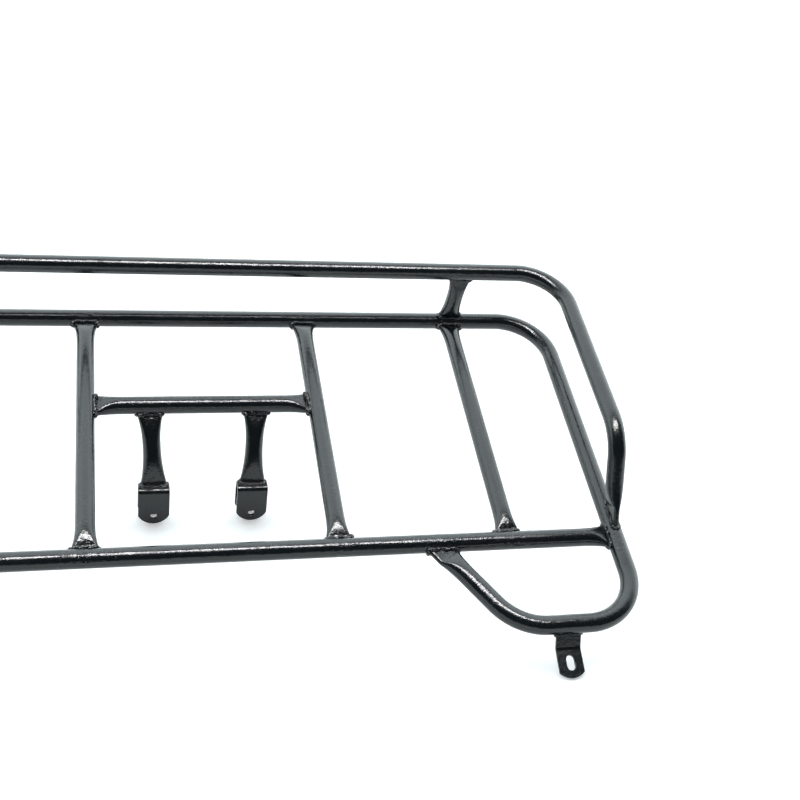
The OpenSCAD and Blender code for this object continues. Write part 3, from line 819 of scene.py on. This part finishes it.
class RACK_OT_guard(RackOperator, bpy.types.Operator):
    """Builds the guard rail and its two posts"""
    bl_idname = "rack.guard"
    bl_label = "Guard rail"

    def execute(self, context):
        z = context.scene.rack_sizes
        ends = mates()
        corners = [deck(z.end_x, z.guard_foot), deck(z.end_x, z.guard_turn, z.guard_z),
                   deck(z.end_x, z.deck_y, z.guard_z), deck(-z.end_x, z.deck_y, z.guard_z),
                   deck(-z.end_x, z.guard_turn, z.guard_z), deck(-z.end_x, z.guard_foot)]
        path = Path(corners, [z.guard_bend] * 4, ends["guard_foot_right"][2])
        flat = sloping_flat(math.atan2(z.guard_z, z.guard_turn - z.guard_foot))
        _, _, side = path.at(np.array([path.length]))
        spot, way, _, mate_way = ends["guard_foot_left"]
        far_ends = {"guard_foot_left": (spot, way, side[0], mate_way)}
        head = End(flat, meeting("guard_foot_right", ends, z.tube / 2))
        tail = End(flat, meeting("guard_foot_left", far_ends, z.tube / 2))
        guard = tube_piece("Guard_rail", path, head, tail, spots_at(ends, "guard_foot", "post_top"))
        finish_piece(guard, ["guard_rail"], ON_TUBE)
        for tag in SIDES:
            straight("guard_post_" + tag, "post_foot_" + tag, "post_top_" + tag, ends)
        return {"FINISHED"}


class RACK_OT_struts(RackOperator, bpy.types.Operator):
    """Builds the two struts down to the clips"""
    bl_idname = "rack.struts"
    bl_label = "Struts"

    def execute(self, context):
        z = context.scene.rack_sizes
        ends = mates()
        soft = 2.2  # the struts' pinches fade more slowly than the others
        for tag in SIDES:
            top, way, side, _ = ends["strut_top_" + tag]
            foot = strut_foot(tag)
            side = unit(side - way * np.dot(side, way))
            path = Path([top, foot], [], side)
            meets = coped(top, way, side, top, DX, z.tube / 2)
            lands = butted(foot, -way, side, foot, UP)
            head = End(z.tube / 2 + LAND, meets, power=soft)
            # seen from its foot, a strut's third direction is turned round, so y changes sign
            tail = End(z.strut_flat, lambda x, y, f=lands: f(x, -y), z.strut_flare, soft)
            piece = tube_piece("Strut_" + tag, path, head, tail, (top, foot))
            finish_piece(piece, ["strut_" + tag], ON_TUBE)
        return {"FINISHED"}


class RACK_OT_strips(RackOperator, bpy.types.Operator):
    """Bends the clips and the slotted tabs from strip"""
    bl_idname = "rack.strips"
    bl_label = "Clips and tabs"

    def execute(self, context):
        z = context.scene.rack_sizes
        for tag in SIDES:
            low, high = (np.array(p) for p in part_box("clip_" + tag))
            half_t = z.strip / 2
            x, front, back = (low[0] + high[0]) / 2, low[1] + half_t, high[1] - half_t
            top = high[2] - half_t
            corners = [(x, front, low[2]), (x, front, top), (x, back, top), (x, back, low[2])]
            path = Path(corners, [z.clip_bend] * 2, -BACK)
            piece = strip_piece("Clip_" + tag, path, (high[0] - low[0]) / 2, (EAR, EAR))
            finish_piece(piece, ["clip_" + tag], ON_STRIP)
            low, high = (np.array(p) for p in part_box("tab_" + tag))
            x = (low[0] + high[0]) / 2
            root = deck(x, -z.hoop_y)
            drop, ahead = sloping_down(z.tab_drop_angle), sloping_down(z.tab_angle)
            bend = root + drop * z.tab_drop
            start = root + drop * (z.tube / 2 - ROOT)
            path = Path([start, bend, bend + ahead * z.tab_length], [z.tab_bend], np.cross(DX, drop))
            piece = strip_piece("Tab_" + tag, path, (high[0] - low[0]) / 2, (None, TAB_TIP))
            finish_piece(piece, ["tab_" + tag], ON_STRIP)
        return {"FINISHED"}


class RACK_OT_welds(RackOperator, bpy.types.Operator):
    """Lays a rippled bead round every welded end"""
    bl_idname = "rack.welds"
    bl_label = "Welds"

    def execute(self, context):
        z = context.scene.rack_sizes
        flat = squashed(z.pinch, z.tube)
        ends = mates()
        for seed, (name, (spot, way, side, mate_way)) in enumerate(sorted(ends.items())):
            side = unit(side - way * np.dot(side, way))
            meets = coped(spot, way, side, spot, mate_way, z.tube / 2)
            piece = bead_piece("Weld_" + name, spot, way, side, meets, z.pinch, flat, 10 * seed + 1)
            finish_piece(piece, ["weld_" + name], ON_WELD)
        for tag, s in SIDES.items():
            foot = strut_foot(tag)
            way = -ends["strut_top_" + tag][1]
            side = unit(DX - way * np.dot(DX, way))
            meets = butted(foot, way, side, foot, UP)
            piece = bead_piece("Weld_strut_foot_" + tag, foot, way, side, meets, z.pinch, flat,
                               seed=500 + int(s), radius=z.bead * FOOT_BEAD)
            finish_piece(piece, ["weld_strut_foot_" + tag], ON_WELD)
            spot = deck(s * TAB[0], -z.hoop_y)
            way = sloping_down(z.tab_drop_angle)
            meets = coped(spot, way, DX, spot, DX, z.tube / 2)
            piece = bead_piece("Weld_tab_" + tag, spot, way, DX, meets, z.strip, TAB_HALF - z.strip / 2,
                               seed=600 + int(s), radius=z.bead * TAB_BEAD)
            finish_piece(piece, ["weld_tab_" + tag], ON_WELD)
        return {"FINISHED"}


class RACK_OT_stage(RackOperator, bpy.types.Operator):
    """Sets the floor, the lights and the camera"""
    bl_idname = "rack.stage"
    bl_label = "Stage"

    def execute(self, context):
        scene = context.scene
        s = scene.rack_stage
        mesh = bpy.data.meshes.new("Floor")
        square = [(x * FLOOR_HALF, y * FLOOR_HALF, 0) for x, y in ((-1, -1), (1, -1), (1, 1), (-1, 1))]
        mesh.from_pydata(square, [], [(0, 1, 2, 3)])
        floor = bpy.data.objects.new("Floor", mesh)
        floor.data.materials.append(bpy.data.materials["Matt_white_painted_board"])
        scene.collection.objects.link(floor)
        data = bpy.data.lights.new("Strip_light", "AREA")
        data.shape, data.size, data.size_y, data.energy = "RECTANGLE", s.strip_long, s.strip_wide, s.strip
        light = bpy.data.objects.new("Strip_light", data)
        back = unit(np.array(s.strip_at) - np.array(s.strip_aim))
        turn = np.column_stack([DX, np.cross(back, DX), back])
        light.matrix_world = Matrix.Translation(s.strip_at) @ Matrix(turn.tolist()).to_4x4()
        light.visible_camera = light.visible_diffuse = False
        scene.collection.objects.link(light)
        # a soft white tent behind and beside the rack, open and dim to the front; past the floor's edge the
        # camera sees plain white
        world = bpy.data.worlds.new("Soft_tent")
        world.use_nodes = True
        tree = world.node_tree
        tree.nodes.clear()
        way = add(tree, "TexCoord").outputs["Generated"]
        lean = math.radians(13)
        behind = (0.0, math.cos(lean), -math.sin(lean))
        side = add(tree, "VectorMath", {"operation": "DOT_PRODUCT", "#1": behind}, i0=way)
        glow = add(tree, "MapRange", {"interpolation_type": "SMOOTHSTEP", "From Min": -0.3, "From Max": 0.15,
                                      "To Min": 0.04, "To Max": 1.0}, Value=side.outputs["Value"])
        glow = add(tree, "Math", {"operation": "MULTIPLY", "#1": s.fill}, i0=glow.outputs[0])
        seen = add(tree, "LightPath").outputs["Is Camera Ray"]
        plain = add(tree, "Mix", {"#3": 1.2}, i0=seen, i2=glow.outputs[0])
        background = add(tree, "Background", {"Color": linear("#eef8fa")}, Strength=plain.outputs[0])
        add(tree, "OutputWorld", {}, Surface=background.outputs[0])
        scene.view_settings.view_transform = "Standard"
        scene.world = world
        data = bpy.data.cameras.new("Camera")
        data.lens, data.sensor_width, data.clip_start, data.clip_end = s.lens, 36.0, 0.01, 50.0
        camera = bpy.data.objects.new("Camera", data)
        camera.location = s.camera_at
        camera.rotation_euler = Euler(s.camera_turn, "XYZ")
        scene.collection.objects.link(camera)
        scene.camera = camera
        return {"FINISHED"}


class RACK_PT_panel(bpy.types.Panel):
    """Lists the rack's sizes, finish and steps"""
    bl_idname = "RACK_PT_panel"
    bl_label = "Luggage rack"
    bl_space_type = "VIEW_3D"
    bl_region_type = "UI"
    bl_category = "Rack"

    def draw(self, context):
        layout = self.layout
        for step in STEPS:
            layout.operator(step.bl_idname)
        for group in (context.scene.rack_sizes, context.scene.rack_finish, context.scene.rack_stage):
            box = layout.box()
            for key in group.__annotations__:
                box.prop(group, key)


GROUPS = {"rack_sizes": RackSizes, "rack_finish": RackFinish, "rack_stage": StageSettings}
STEPS = (RACK_OT_materials, RACK_OT_deck, RACK_OT_guard, RACK_OT_struts, RACK_OT_strips, RACK_OT_welds,
         RACK_OT_stage)


def register():
    """Registers the property groups, the steps and the panel."""
    for name, group in GROUPS.items():
        bpy.utils.register_class(group)
        setattr(bpy.types.Scene, name, PointerProperty(type=group))
    for step in STEPS:
        bpy.utils.register_class(step)
    bpy.utils.register_class(RACK_PT_panel)


def unregister():
    """Takes them away again, in the opposite order."""
    bpy.utils.unregister_class(RACK_PT_panel)
    for step in reversed(STEPS):
        bpy.utils.unregister_class(step)
    for name, group in reversed(list(GROUPS.items())):
        delattr(bpy.types.Scene, name)
        bpy.utils.unregister_class(group)


def main():
    """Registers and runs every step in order."""
    register()
    for step in STEPS:
        kind, name = step.bl_idname.split(".")
        getattr(getattr(bpy.ops, kind), name)()


if __name__ == "__main__":
    main()
